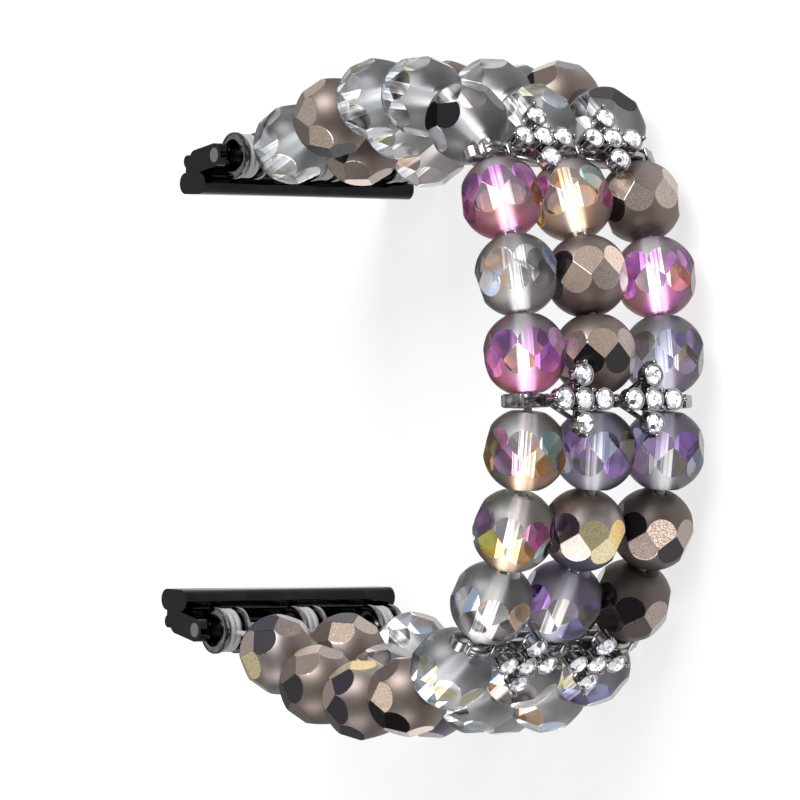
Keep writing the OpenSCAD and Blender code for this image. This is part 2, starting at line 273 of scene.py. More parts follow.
@dataclass(frozen=True)
class ClearGlass:
    """Frosted clear glass whose polished facets have an iridescent coat.

    Attributes:
        name: Name of the glass.
        body: Colour of the frosted glass.
        tints: The two colours of the frosted end that points down the strand, which drift into each other.
        facets: Colours of the coat, from thin to thick; each facet shows a short stretch of them.
        dark_share: Share of the facets that are plated nearly black.
        rim: Colour of the painted shade towards the frosted glass's outline, and of the bore's wall near the
            ends.
        drift: Length of that stretch, as a share of all the colours.
        glow: Strength of the painted light that the milky wall of the bore gives off, in place of the light
            that the round glass focuses there.
        thin: Share of the coat's colour that shows where a facet is looked at straight on.
        mirror: Largest share of the light that a coated facet throws back.
        clouds: Size of the clouds in the coat and in the tints, in millimetres.
        fade: Where the bore's painted glow ends, as the square of a share of the bead's half length.
        frost: Roughness of the frosted glass, and how much the grain adds.
    """

    name: str
    body: RGB
    tints: tuple[RGB, RGB]
    facets: tuple[RGB, ...]
    dark_share: float = 0.0
    rim: RGB = (0.12, 0.115, 0.12)
    drift: float = 0.3
    glow: float = 3.4
    thin: float = 0.6
    mirror: float = 0.4
    clouds: tuple[float, float] = (3.0, 4.5)
    fade: tuple[float, float] = (0.74, 0.92)
    frost: tuple[float, float] = (0.34, 0.10)

    def material(self) -> bpy.types.Material:
        """Builds the glass.

        Returns:
            The material, which reads the bead's attributes facet, shade, plate, bore and along.
        """
        paint = new_paint(f"glass_{self.name}")
        facet, shade, plate, bore, along = map(paint.attribute, ("facet", "shade", "plate", "bore", "along"))
        # Frosted glass: its own colour, two drifting tints at the lower end, and painted shade that darkens
        # its outline.
        clouds = paint.grain(self.clouds[0], 1.0)
        end = paint.spread(along * -1.0 + clouds * 0.5, 0.1, 1.1)
        tinted = paint.mix(paint.spread(paint.grain(self.clouds[1], 0.0), 0.40, 0.60), *self.tints)
        frosted = paint.mix(end, self.body, tinted)
        frosted = paint.mix(paint.limb(0.3, 0.9) * 0.8, frosted, self.rim, way="MULTIPLY")
        # Painted light: the bore's wall glows inside the bead, in strips, and more towards the lower end; its
        # colour darkens to the rim's near the ends.
        deep = 1.0 - paint.spread(along * along, *self.fade)
        painted_streak = bore * deep * (0.2 + 0.8 * shade) * (0.3 + 0.7 * paint.spread(along * -1.0, -0.8, 0.5))
        # A facet shows a stretch of the coat's colours, and less of them where it is looked at straight on.
        polished = paint.ramp(shade + (clouds - 0.5) * (2.0 * self.drift), evenly(self.facets))
        polished = paint.mix(paint.limb(0.0, 0.22) * (1.0 - self.thin) + self.thin, SHEER, polished)
        # Some facets are plated nearly black, and every facet throws back its own share of the light.
        plated = facet * (plate > 1.0 - self.dark_share)
        mirror = facet * paint.spread(plate, 0.3, 1.2) * self.mirror
        fine = paint.grain(0.12, 2.0)
        glass = paint.mix(facet, frosted, paint.mix(plated, polished, JET))
        return paint.surface(
            Base_Color=paint.mix(bore, glass, paint.mix(deep, self.rim, PLAIN)),
            Metallic=paint.maths("MAXIMUM", paint.maths("MAXIMUM", plated, mirror), bore),
            Roughness=(1.0 - facet) * (self.frost[0] + self.frost[1] * fine) + facet * 0.01,
            Normal=paint.bump(fine * (1.0 - facet), 0.006),
            IOR=GLASS_IOR,
            Transmission_Weight=0.92,
            Emission_Color=paint.mix(painted_streak, (0.0, 0.0, 0.0), (1.0, 1.0, 1.0)),
            Emission_Strength=self.glow,
        )


@dataclass(frozen=True)
class PlatedGlass:
    """Glass plated all over: satin at the ends, with speckled facets that painted reflections make bright or
    dark.

    Attributes:
        name: Name of the glass.
        satin: Colours that drift through the satin plating.
        facets: Colours that the facets take in turn: the plating's colour with a painted reflection, from
            bright to nearly black.
        rim: Colour of the painted shade towards the satin's outline.
        speck: Shade of the specks on a facet.
        frost: Roughness of the satin, and how much the grain adds.
    """

    name: str
    satin: tuple[RGB, ...]
    facets: tuple[RGB, ...]
    rim: RGB = (0.35, 0.34, 0.34)
    speck: RGB = (0.66, 0.56, 0.50)
    frost: tuple[float, float] = (0.42, 0.10)

    def material(self) -> bpy.types.Material:
        """Builds the plating.

        Returns:
            The material, which reads the bead's attributes facet, shade and along.
        """
        paint = new_paint(f"glass_{self.name}")
        facet, shade, along = map(paint.attribute, ("facet", "shade", "along"))
        # Satin: the colours drift along the bead, and painted shade darkens them towards its outline.
        drift = paint.spread(along * 0.6 + paint.grain(3.5, 1.0) * 1.6, 0.2, 1.4)
        satin = paint.ramp(drift, evenly(self.satin))
        satin = paint.mix(paint.limb(0.55, 1.0) * 0.8, satin, self.rim, way="MULTIPLY")
        # Facets: one colour to each, the plating with its painted reflection, and specks that are duller than
        # the rest.
        polished = paint.ramp(shade, evenly(self.facets, stepped=True), stepped=True)
        speckle = paint.spread(paint.grain(0.17, 5.0), 0.44, 0.66)
        polished = paint.mix(speckle * 0.75, polished, self.speck, way="MULTIPLY")
        fine = paint.grain(0.1, 2.0)
        frost = self.frost[0] + self.frost[1] * fine
        return paint.surface(
            Base_Color=paint.mix(facet, satin, polished),
            Metallic=0.8,
            Roughness=(1.0 - facet) * frost + facet * (0.14 + 0.14 * speckle),
            Normal=paint.bump(fine, 0.004),
            IOR=GLASS_IOR,
            Coat_Weight=facet * 0.3,
            Coat_Roughness=0.03,
        )


@dataclass(frozen=True)
class Metal:
    """Metal with a lived-in finish.

    Attributes:
        name: Name of the metal.
        colour: Colour of the clean surface.
        worn: Colour where hands have rubbed it.
        roughness: Roughness of the clean surface.
        grain: Size of the cloudy wear, in millimetres.
    """

    name: str
    colour: RGB
    worn: RGB
    roughness: float
    grain: float = 1.2

    def material(self) -> bpy.types.Material:
        """Builds the finish."""
        paint = new_paint(self.name)
        clouds = paint.spread(paint.grain(self.grain, 4.0), 0.45, 0.7)
        fine = paint.grain(self.grain / 12, 3.0)
        return paint.surface(
            Base_Color=paint.mix(clouds * 0.6, self.colour, self.worn),
            Metallic=1.0,
            Roughness=self.roughness * (0.8 + 0.5 * clouds),
            Normal=paint.bump(fine, 0.004, 0.5),
        )


@dataclass(frozen=True)
class Elastic:
    """Clear stretch cord with fine fibres along it.

    Attributes:
        name: Name of the cord's material.
        colour: Colour of a fibre.
        shade: Colour between the fibres.
        fibre: Size of a fibre, in millimetres.
    """

    name: str = "elastic_cord"
    colour: RGB = (0.38, 0.37, 0.375)
    shade: RGB = (0.24, 0.235, 0.24)
    fibre: float = 0.11

    def material(self) -> bpy.types.Material:
        """Builds the cord's finish."""
        paint = new_paint(self.name)
        fibres = paint.grain(self.fibre, 4.0)
        return paint.surface(
            Base_Color=paint.mix(paint.spread(fibres, 0.3, 0.7), self.shade, self.colour),
            Roughness=0.34 + 0.2 * fibres,
            Normal=paint.bump(fibres, 0.02),
        )


@dataclass(frozen=True)
class Crystal:
    """Brilliant stone over a silvered back, with a painted reflection on every facet, some darker and some
    brighter.

    Attributes:
        name: Name of the stone's material.
        levels: Colours of the facets' painted reflections from dark to bright, each with its place among
            them.
        glow: Share of its colour that a facet gives off as painted light, in place of the light from the
            silvered back.
    """

    name: str = "crystal"
    levels: tuple[tuple[float, RGB], ...] = ((0.0, (0.10, 0.10, 0.12)), (0.28, (0.45, 0.46, 0.50)),
                                             (0.5, (0.90, 0.91, 0.94)), (1.0, (1.0, 1.0, 1.0)))
    glow: float = 0.22

    def material(self) -> bpy.types.Material:
        """Builds the stone's finish.

        Returns:
            The material, which reads the stone's attribute sparkle.
        """
        paint = new_paint(self.name)
        haze = paint.grain(0.35, 2.0)
        colour = paint.ramp(paint.attribute("sparkle") + (haze - 0.5) * 0.5, self.levels)
        return paint.surface(
            Base_Color=colour,
            Metallic=0.45,
            Roughness=0.05 + 0.08 * haze,
            Coat_Weight=1.0,
            Coat_Roughness=0.01,
            Emission_Color=colour,
            Emission_Strength=self.glow,
        )


GLASS_IOR = 1.52
PLAIN = (0.97, 0.97, 0.98)
SHEER = (0.56, 0.55, 0.57)
BLACK = (0.02, 0.018, 0.022)
JET = (0.03, 0.026, 0.032)

# Colours that the facets of the plated beads take in turn: the plating's colour with a painted reflection,
# from bright to nearly black.
COPPER_FACET_REFLECTIONS = ((0.92, 0.75, 0.62), (0.36, 0.29, 0.265), (0.02, 0.018, 0.02), (0.42, 0.34, 0.31),
                 (0.84, 0.66, 0.54), (0.34, 0.28, 0.255), (0.44, 0.36, 0.33), (0.03, 0.027, 0.03))
UMBER_FACET_REFLECTIONS = ((0.80, 0.63, 0.52), (0.07, 0.055, 0.05), (0.02, 0.018, 0.02), (0.34, 0.28, 0.255),
                (0.09, 0.07, 0.065), (0.36, 0.30, 0.275), (0.16, 0.13, 0.12), (0.03, 0.027, 0.03))
OPAL_FACET_REFLECTIONS = ((0.85, 0.62, 0.25), (0.10, 0.09, 0.12), (0.55, 0.45, 0.40), (0.03, 0.028, 0.035),
               (0.75, 0.60, 0.55), (0.40, 0.33, 0.31), (0.06, 0.05, 0.06), (0.80, 0.70, 0.42))

# The glass of each tone: its name, the frosted glass, the frosted end, and the facets.
GLASSES = {
    Tone.GREY: ClearGlass(
        "grey", (0.20, 0.212, 0.232), ((0.27, 0.28, 0.29), (0.23, 0.25, 0.26)),
        (PLAIN, (0.12, 0.11, 0.12), PLAIN, (0.62, 0.72, 0.85), (0.34, 0.33, 0.35), PLAIN,
         (0.36, 0.33, 0.16), PLAIN, BLACK, PLAIN)),
    Tone.CLEAR: ClearGlass(
        "clear", (0.17, 0.165, 0.17), ((0.28, 0.25, 0.24), (0.22, 0.21, 0.215)),
        (PLAIN, (0.36, 0.56, 0.94), (0.24, 0.20, 0.20), (0.96, 0.52, 0.22), PLAIN, BLACK,
         (0.40, 0.34, 0.32), PLAIN)),
    Tone.ROSE: ClearGlass(
        "rose", (0.15, 0.135, 0.15), ((0.46, 0.10, 0.32), (0.30, 0.10, 0.10)),
        ((0.07, 0.01, 0.10), (0.38, 0.06, 0.50), (0.92, 0.22, 0.76), (0.10, 0.05, 0.11), (0.96, 0.28, 0.14),
         (0.44, 0.38, 0.44), (0.62, 0.10, 0.66), BLACK), glow=5.5),
    Tone.AMBER: ClearGlass(
        "amber", (0.165, 0.148, 0.15), ((0.27, 0.15, 0.075), (0.21, 0.165, 0.145)),
        ((0.07, 0.02, 0.08), (0.60, 0.05, 0.34), (0.10, 0.05, 0.04), (0.95, 0.74, 0.06), (0.84, 0.36, 0.06),
         (0.40, 0.36, 0.34), (0.18, 0.42, 0.42), BLACK), glow=5.0),
    Tone.SMOKE: ClearGlass(
        "smoke", (0.105, 0.095, 0.125), ((0.16, 0.14, 0.185), (0.19, 0.18, 0.19)),
        ((0.05, 0.02, 0.11), (0.26, 0.08, 0.50), BLACK, (0.16, 0.14, 0.04), (0.36, 0.34, 0.40),
         (0.24, 0.31, 0.60), (0.07, 0.04, 0.11)), glow=2.6),
    Tone.SHADOW: ClearGlass(
        "shadow", (0.17, 0.17, 0.185), ((0.22, 0.22, 0.235), (0.20, 0.19, 0.19)),
        (BLACK, (0.34, 0.29, 0.27), PLAIN, BLACK, (0.12, 0.11, 0.115), (0.30, 0.27, 0.255), PLAIN, BLACK),
        dark_share=0.3),
    Tone.OPAL: PlatedGlass(
        "opal", ((0.10, 0.10, 0.16), (0.28, 0.18, 0.19), (0.56, 0.42, 0.24), (0.34, 0.31, 0.29),
                 (0.20, 0.165, 0.15)),
        OPAL_FACET_REFLECTIONS),
    Tone.BRONZE: PlatedGlass(
        "bronze", ((0.175, 0.138, 0.122), (0.26, 0.215, 0.195), (0.20, 0.16, 0.14)), COPPER_FACET_REFLECTIONS),
    Tone.UMBER: PlatedGlass(
        "umber", ((0.10, 0.082, 0.072), (0.165, 0.138, 0.122), (0.12, 0.10, 0.088)), UMBER_FACET_REFLECTIONS),
}

# The metals: name, clean surface, worn surface and roughness.
GUNMETAL = Metal("gunmetal", (0.32, 0.31, 0.32), (0.48, 0.47, 0.475), 0.13)
SPOOL_METAL = Metal("spool_metal", (0.17, 0.16, 0.165), (0.36, 0.34, 0.33), 0.12)
SATIN_METAL = Metal("satin_gunmetal", (0.40, 0.385, 0.39), (0.52, 0.50, 0.50), 0.30)
BLACK_METAL = Metal("black_metal", (0.017, 0.016, 0.017), (0.028, 0.026, 0.027), 0.07, grain=3.0)
PIN_STEEL = Metal("pin_steel", (0.24, 0.23, 0.23), (0.36, 0.34, 0.33), 0.2)


@dataclass(frozen=True)
class Place:
    """Where a piece lies: its centre and the directions of its own axes.

    Attributes:
        centre: Middle of the piece, in metres.
        outward: Direction away from the wrist.
        along: Direction up the strand, towards the upper adapter.
    """

    centre: Vector
    outward: Vector
    along: Vector

    def matrix(self, height: float = 0.0) -> Matrix:
        """Matrix from the piece's frame, x outward, y along the strand and z up.

        Args:
            height: How far the piece lies over the centre, in metres.

        Returns:
            The matrix into the shared frame.
        """
        turn = Matrix((self.outward, self.along, (0, 0, 1))).transposed().to_4x4()
        return Matrix.Translation(self.centre + Vector((0, 0, height))) @ turn


class Bench:
    """Modelling by operators on the active object, as by hand."""

    BLOCK_ANGLE = 30.0

    @staticmethod
    def hold(*pieces: bpy.types.Object) -> None:
        """Selects pieces and nothing else, and makes the first one the active piece."""
        bpy.ops.object.select_all(action="DESELECT")
        for piece in pieces:
            piece.select_set(True)
        bpy.context.view_layer.objects.active = pieces[0]

    @staticmethod
    def start(add: Callable, name: str, **sizes: object) -> bpy.types.Object:
        """Adds a primitive with all of it selected and edit mode on.

        Args:
            add: The operator that adds the primitive.
            name: Name of the new piece.
            **sizes: Its size and place.

        Returns:
            The new object, in edit mode.
        """
        bpy.ops.object.select_all(action="DESELECT")
        add(**sizes)
        made = bpy.context.active_object
        made.name = made.data.name = name
        bpy.ops.object.mode_set(mode="EDIT")
        bpy.ops.mesh.select_mode(type="VERT")
        bpy.ops.mesh.select_all(action="SELECT")
        return made

    @staticmethod
    def edit(piece: bpy.types.Object) -> None:
        """Goes back into edit mode on a piece, with nothing selected."""
        Bench.hold(piece)
        bpy.ops.object.mode_set(mode="EDIT")
        bpy.ops.mesh.select_mode(type="VERT")
        bpy.ops.mesh.select_all(action="DESELECT")

    @staticmethod
    def done() -> None:
        """Leaves edit mode."""
        bpy.ops.object.mode_set(mode="OBJECT")

    @staticmethod
    def cut(normal: Vector, distance: float) -> None:
        """Cuts away all that lies beyond a plane and closes the cut.

        Args:
            normal: Direction of the plane, away from what stays.
            distance: Distance of the plane from the origin, in metres.
        """
        bpy.ops.mesh.select_all(action="SELECT")
        bpy.ops.mesh.bisect(plane_co=normal * distance, plane_no=normal, use_fill=True, clear_outer=True,
                            threshold=1e-7)

    @staticmethod
    def pick_faces(piece: bpy.types.Object, wanted: Callable[[bmesh.types.BMFace], bool]) -> None:
        """Selects the faces that pass a test, and nothing else."""
        bpy.ops.mesh.select_all(action="DESELECT")
        bpy.ops.mesh.select_mode(type="FACE")
        mesh = bmesh.from_edit_mesh(piece.data)
        for face in mesh.faces:
            face.select_set(wanted(face))
        bmesh.update_edit_mesh(piece.data)

    @staticmethod
    def heal(gap: float) -> None:
        """Merges points closer than a gap in metres, and turns every face outwards."""
        bpy.ops.mesh.select_all(action="SELECT")
        bpy.ops.mesh.remove_doubles(threshold=gap)
        bpy.ops.mesh.normals_make_consistent(inside=False)

    @staticmethod
    def round_off(piece: bpy.types.Object, width: float, angle: float, segments: int = 1) -> None:
        """Rounds the sharp edges.

        Args:
            piece: The piece, out of edit mode.
            width: Width of the rounding, in millimetres.
            angle: Edges sharper than this are rounded, in degrees.
            segments: Steps of the rounding.
        """
        soften = piece.modifiers.new("rounding", "BEVEL")
        soften.width = width * MM
        soften.segments = segments
        soften.limit_method = "ANGLE"
        soften.angle_limit = math.radians(angle)
        soften.use_clamp_overlap = False
        Bench.hold(piece)
        bpy.ops.object.modifier_apply(modifier=soften.name)

    @staticmethod
    def shade(piece: bpy.types.Object, angle: float) -> None:
        """Shades a piece smoothly over edges blunter than an angle in degrees."""
        Bench.hold(piece)
        bpy.ops.object.shade_smooth_by_angle(angle=math.radians(angle))

    @staticmethod
    def turned(name: str, profile: Sequence[tuple[float, float]], sides: int,
               smooth: float) -> bpy.types.Object:
        """Turns a profile round Z, ring by ring, as on a lathe.

        Args:
            name: Name of the piece.
            profile: Points of the profile, each a radius and a height in millimetres. A profile that
                ends where it began makes a ring, and open ends are closed with a flat.
            sides: Faces round the axis.
            smooth: Edges blunter than this shade smoothly, in degrees.

        Returns:
            The turned piece, out of edit mode.
        """
        radius, height = profile[0]
        piece = Bench.start(bpy.ops.mesh.primitive_circle_add, name, vertices=sides, radius=radius * MM,
                            location=(0, 0, height * MM))
        Bench.done()
        bpy.ops.object.transform_apply(location=True)
        Bench.edit(piece)
        bpy.ops.mesh.select_all(action="SELECT")
        for (r0, z0), (r1, z1) in zip(profile, profile[1:]):
            bpy.ops.mesh.extrude_region_move(TRANSFORM_OT_translate={"value": (0, 0, (z1 - z0) * MM)})
            scale = r1 / r0
            bpy.ops.transform.resize(value=(scale, scale, 1), center_override=(0, 0, z1 * MM))
        Bench.heal(1e-6)
        if profile[0] != profile[-1]:
            bpy.ops.mesh.select_all(action="SELECT")
            bpy.ops.mesh.fill_holes(sides=0)
            bpy.ops.mesh.normals_make_consistent(inside=False)
        Bench.done()
        Bench.shade(piece, smooth)
        return piece

    @staticmethod
    def block(name: str, low: Sequence[float], high: Sequence[float], rounding: float, segments: int,
              taper: float = 1.0) -> bpy.types.Object:
        """Makes a block with rounded edges.

        Args:
            name: Name of the piece.
            low: Its lowest corner, in millimetres.
            high: Its highest corner, in millimetres.
            rounding: Width of the rounding, in millimetres.
            segments: Steps of the rounding.
            taper: Size of its far end along x, as a share of the near end.

        Returns:
            The block, out of edit mode.
        """
        size = [(b - a) * MM for a, b in zip(low, high)]
        middle = [(a + b) / 2 * MM for a, b in zip(low, high)]
        piece = Bench.start(bpy.ops.mesh.primitive_cube_add, name, size=1.0)
        Bench.pick_faces(piece, lambda face: face.normal.x > 0.9)
        bpy.ops.transform.resize(value=(1, taper, taper), center_override=(0, 0, 0))
        bpy.ops.mesh.select_all(action="SELECT")
        bpy.ops.transform.resize(value=size, center_override=(0, 0, 0))
        bpy.ops.transform.translate(value=middle)
        Bench.done()
        Bench.round_off(piece, rounding, Bench.BLOCK_ANGLE, segments)
        Bench.shade(piece, Bench.BLOCK_ANGLE)
        return piece

    @staticmethod
    def hang(name: str, data: bpy.types.ID) -> bpy.types.Object:
        """Puts a curve, a light or a camera into the scene as an object of that name."""
        made = bpy.data.objects.new(name, data)
        bpy.context.scene.collection.objects.link(made)
        return made

    @staticmethod
    def copy(piece: bpy.types.Object, name: str, matrix: Matrix) -> bpy.types.Object:
        """Copies a piece with its own mesh, carried by a matrix that is then part of the mesh."""
        data = piece.data.copy()
        data.name = name
        data.transform(matrix)
        data.update()
        made = piece.copy()
        made.data = data
        made.name = name
        bpy.context.scene.collection.objects.link(made)
        return made

    @staticmethod
    def join(name: str, pieces: Iterable[bpy.types.Object]) -> bpy.types.Object:
        """Joins two or more pieces into one of that name."""
        pieces = list(pieces)
        Bench.hold(*pieces)
        bpy.ops.object.join()
        pieces[0].name = pieces[0].data.name = name
        return pieces[0]

    @staticmethod
    def scrap(*pieces: bpy.types.Object) -> None:
        """Removes patterns that were only there to be copied."""
        for piece in pieces:
            bpy.data.objects.remove(piece)


def tint(piece: bpy.types.Object, *materials: bpy.types.Material) -> None:
    """Gives a piece its materials, one to a slot."""
    piece.data.materials.clear()
    for material in materials:
        piece.data.materials.append(material)


class Loop:
    """The strands' course, read from the joints of the frame."""

    # Bodies from the lower adapter to the upper one.
    CHAIN = ("rank_16", "rank_15", "rank_14", "rank_13", "rank_12", "lower_spacer", "rank_11", "rank_10",
             "rank_09", "middle_spacer", "rank_08", "rank_07", "rank_06", "upper_spacer", "rank_05",
             "rank_04", "rank_03", "rank_02", "rank_01")

    def __init__(self, frame: dict, bead: "Bead") -> None:
        """Works out the place of every rank and spacer.

        Args:
            bead: Sizes of a bead, which the end ranks need.
        """
        self.points = {j["name"]: Vector(j["pos_m"]) for j in frame["joints"]}
        self.pairs = {frozenset((j["parent"], j["child"])): Vector(j["pos_m"])
                      for j in frame["joints"] if j["name"].endswith("_bend")}
        self.bead = bead
        self.places = {body: self._place(i) for i, body in enumerate(self.CHAIN)}

    def rim(self, index: int) -> Vector:
        """The point that two neighbours turn about, between a piece of the chain and the next."""
        return self.pairs[frozenset(self.CHAIN[index:index + 2])]

    def _place(self, index: int) -> Place:
        """Place of one piece of the chain, from the points that it turns about."""
        rim_r = self.bead.flat_d / 2 * MM
        # A piece with two neighbours lies between its rims. An end rank has one rim only, and takes its
        # direction from its adapter's joints and the cord's turn there.
        if 0 < index < len(self.CHAIN) - 1:
            down, up = self.rim(index - 1), self.rim(index)
            along = (up - down).normalized()
            inner = (down + up) / 2
        else:
            half, sign = ("lower", -1) if index == 0 else ("upper", 1)
            turn = self.bead.end_turns[0 if sign < 0 else 1]
            away = self.points[f"adapter_{half}_swing"] - self.points[f"spools_{half}_spin"]
            away.rotate(Matrix.Rotation(math.radians(-sign * turn), 3, "Z"))
            away.normalize()
            reach = (self.bead.length() / 2 + self.bead.gap / 2) * MM
            inner = self.rim(0 if sign < 0 else index - 1) + away * reach
            along = away * sign
        outward = Vector((along.y, -along.x, 0))
        return Place(inner + outward * rim_r, outward, along)


@dataclass
class Bead:
    """One faceted bead and the grouping of all 48.

    Attributes:
        diameter: Diameter over the round.
        flat_d: Diameter of the flat at each end.
        bore_d: Diameter of the hole.
        gap: Clear space between the inner rims of two neighbours.
        count: Facets in a row.
        facet_d: Diameter of the round that a facet cuts.
        row_tilt: Height of a row's middle over the belt's centre line, in degrees.
        pitch: Distance between neighbouring strands.
        end_turns: Turn of the cord at the lower and the upper end bead, in degrees.
        strips: Lighter and darker strips of painted glow round the bore's wall.
        sides: Faces round the ball that the bead is cut from.
        edge: Width of the rounding of its edges.
        crease: Edges sharper than this are rounded, in degrees.
        smooth: Edges blunter than this shade smoothly, in degrees.
        turning: First and last rank whose beads are pieces by themselves.
    """

    diameter: float = 8.2
    flat_d: float = 3.3
    bore_d: float = 1.2
    gap: float = 0.08
    count: int = 8
    facet_d: float = 3.1
    row_tilt: float = 11.0
    pitch: float = 8.35
    end_turns: tuple[float, float] = (-22.0, -24.0)
    strips: int = 20
    sides: int = 64
    edge: float = 0.03
    crease: float = 12.0
    smooth: float = 8.0
    turning: tuple[int, int] = (6, 11)

    # Cosines of the angles within which a face counts as lying across the axis, and as part of a facet.
    ACROSS = 0.99
    ON_FACET = 0.9995

    def length(self) -> float:
        """Length from flat to flat, in millimetres."""
        return 2 * math.sqrt(self.diameter ** 2 / 4 - self.flat_d ** 2 / 4)

    def facet_normals(self) -> list[Vector]:
        """Directions of the facets, the upper row first."""
        tilt = math.radians(self.row_tilt)
        found = []
        for side in (1, -1):
            for i in range(self.count):
                turn = math.tau / self.count * (i + side / 4)
                found.append(Vector((math.cos(turn) * math.cos(tilt), math.sin(turn) * math.cos(tilt),
                                     side * math.sin(tilt))))
        return found

    def pattern(self) -> bpy.types.Object:
        """Models the bead on its axis: a ball, its facets and flats cut, and its bore drilled."""
        piece = Bench.start(bpy.ops.mesh.primitive_uv_sphere_add, "bead_pattern", segments=self.sides,
                            ring_count=self.sides // 2, radius=self.diameter / 2 * MM)
        plane = math.sqrt(self.diameter ** 2 - self.facet_d ** 2) / 2 * MM
        for normal in self.facet_normals():
            Bench.cut(normal, plane)
        flat = self.length() / 2 * MM
        for end in (1, -1):
            Bench.cut(Vector((0, 0, end)), flat)
        Bench.heal(self.edge * MM)
        Bench.pick_faces(piece, lambda face: abs(face.normal.z) > self.ACROSS
                         and abs(face.calc_center_median().z) > flat * 0.99)
        bpy.ops.mesh.inset(thickness=(self.flat_d - self.bore_d) / 2 * MM, use_individual=True)
        bpy.ops.mesh.bridge_edge_loops()
        Bench.heal(1e-7)
        Bench.done()
        self._mark(piece)
        Bench.round_off(piece, self.edge, self.crease)
        Bench.shade(piece, self.smooth)
        return piece

    def _mark(self, piece: bpy.types.Object) -> None:
        """Numbers the facets, before the edges are rounded: 0 is the frosted glass and -1 the bore."""
        normals = self.facet_normals()
        number = piece.data.attributes.new("number", "INT", "FACE")
        for face in piece.data.polygons:
            best = max(range(len(normals)), key=lambda i: normals[i].dot(face.normal))
            cut = normals[best].dot(face.normal) > self.ON_FACET
            number.data[face.index].value = best + 1 if cut else 0
            if Vector(face.center).xy.length < self.bore_d * 0.51 * MM:
                number.data[face.index].value = -1

    def dressed(self, pattern: bpy.types.Object, rank: int, strand: int, glass: bpy.types.Material,
                place: Place) -> bpy.types.Object:
        """Copies the pattern as one bead of the band.

        Args:
            pattern: The bead that pattern() made.
            rank: Number of its rank.
            strand: Number of its strand, 0 for the uppermost.
            glass: Its glass.
            place: Place of its rank.

        Returns:
            The bead, in place, with the attributes that its glass reads.
        """
        draw = random.Random(DRAWS[rank][strand])
        # By a facet's number, with 0 for the frosted glass: place among the coat's colours, and plating.
        facets = 2 * self.count
        shades = [0.0] + draw.sample([(i + 0.5) / facets for i in range(facets)], facets)
        plates = [0.0] + [draw.random() for _ in range(facets)]
        # Brightness of each strip of the bore's painted glow.
        strips = [draw.random() for _ in range(self.strips)]
        height = (1 - strand) * self.pitch * MM
        turn = math.radians(TURNS[rank][strand])
        upright = Matrix.Rotation(-math.pi / 2, 4, "X") @ Matrix.Rotation(turn, 4, "Z")
        piece = Bench.copy(pattern, f"glass_{rank:02d}_{STRANDS[strand]}", Matrix.Identity(4))
        mesh = piece.data
        numbers = [entry.value for entry in mesh.attributes["number"].data]
        rounds = [math.atan2(face.center.y, face.center.x) / math.tau + 0.5 for face in mesh.polygons]
        sectors = [int(share * self.strips) % self.strips for share in rounds]
        for name, values in {
            "facet": [1.0 if n > 0 else 0.0 for n in numbers],
            "bore": [1.0 if n < 0 else 0.0 for n in numbers],
            "shade": [shades[n] if n >= 0 else strips[sector] for n, sector in zip(numbers, sectors)],
            "plate": [plates[max(n, 0)] for n in numbers],
        }.items():
            mesh.attributes.new(name, "FLOAT", "FACE").data.foreach_set("value", values)
        along = mesh.attributes.new("along", "FLOAT", "POINT")
        along.data.foreach_set("value", [v.co.z / (self.length() / 2 * MM) for v in mesh.vertices])
        mesh.transform(place.matrix(height) @ upright)
        tint(piece, glass)
        return piece


# The glass of each bead, rank by rank, from the uppermost strand down.
TONES = {
    1: "grey bronze clear", 2: "bronze grey bronze", 3: "grey bronze clear", 4: "grey grey bronze",
    5: "shadow grey shadow", 6: "rose amber bronze", 7: "clear bronze rose", 8: "rose bronze smoke",
    9: "amber smoke smoke", 10: "amber opal umber", 11: "clear smoke umber", 12: "grey clear smoke",
    13: "bronze grey clear", 14: "opal smoke grey", 15: "bronze clear bronze", 16: "opal bronze clear",
}

# Turn of each bead about its cord, in degrees.
TURNS = {
    1: (7, 43, 33), 2: (14, 27, 40), 3: (21, 34, 2), 4: (28, 41, 9), 5: (35, 13, 16), 6: (41, 38, 17),
    7: (18, 49, 11), 8: (12, 11, 10), 9: (40, 11, 33), 10: (34, 13, 10), 11: (0, 0, 42), 12: (42, 7, 20),
    13: (37, 14, 27), 14: (2, 21, 34), 15: (34, 28, 41), 16: (0, 26, 3),
}

# Number that each bead's facet colours are drawn from.
DRAWS = {
    1: (38, 10, 52), 2: (321, 76, 83), 3: (100, 107, 114), 4: (131, 138, 145), 5: (162, 169, 176),
    6: (101, 93, 88), 7: (67, 372, 126), 8: (361, 260, 87), 9: (357, 311, 354), 10: (397, 399, 395),
    11: (377, 355, 113), 12: (379, 386, 393), 13: (270, 417, 424), 14: (10, 448, 455), 15: (4, 479, 486),
    16: (130, 510, 517),
}


@dataclass
class BeadRanks:
    """All beads: a rank of three is one piece on the sides, and every far bead is a piece by itself.

    Attributes:
        bead: The bead that all are copies of.
        loop: The strands' course.
    """

    bead: Bead
    loop: Loop

    def build(self) -> None:
        """Makes the glasses and every bead, hangs each on its body, and hides the CAD part that it takes the
        place of.
        """
        glasses = {tone: finish.material() for tone, finish in GLASSES.items()}
        pattern = self.bead.pattern()
        first, last = self.bead.turning
        for rank, names in TONES.items():
            tones = [Tone(name) for name in names.split()]
            body = f"rank_{rank:02d}"
            place = self.loop.places[body]
            beads = [self.bead.dressed(pattern, rank, s, glasses[tones[s]], place) for s in range(3)]
            if first <= rank <= last:
                for strand, piece, tone in zip(STRANDS, beads, tones):
                    node = f"bead_{rank:02d}_{strand}"
                    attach(piece, node)
                    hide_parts(node)
            else:
                piece = Bench.join(f"glass_{rank:02d}", beads)
                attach(piece, body)
                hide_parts(f"beads_{rank:02d}")
            log.info("rank %02d: %s", rank, names)
        Bench.scrap(pattern)


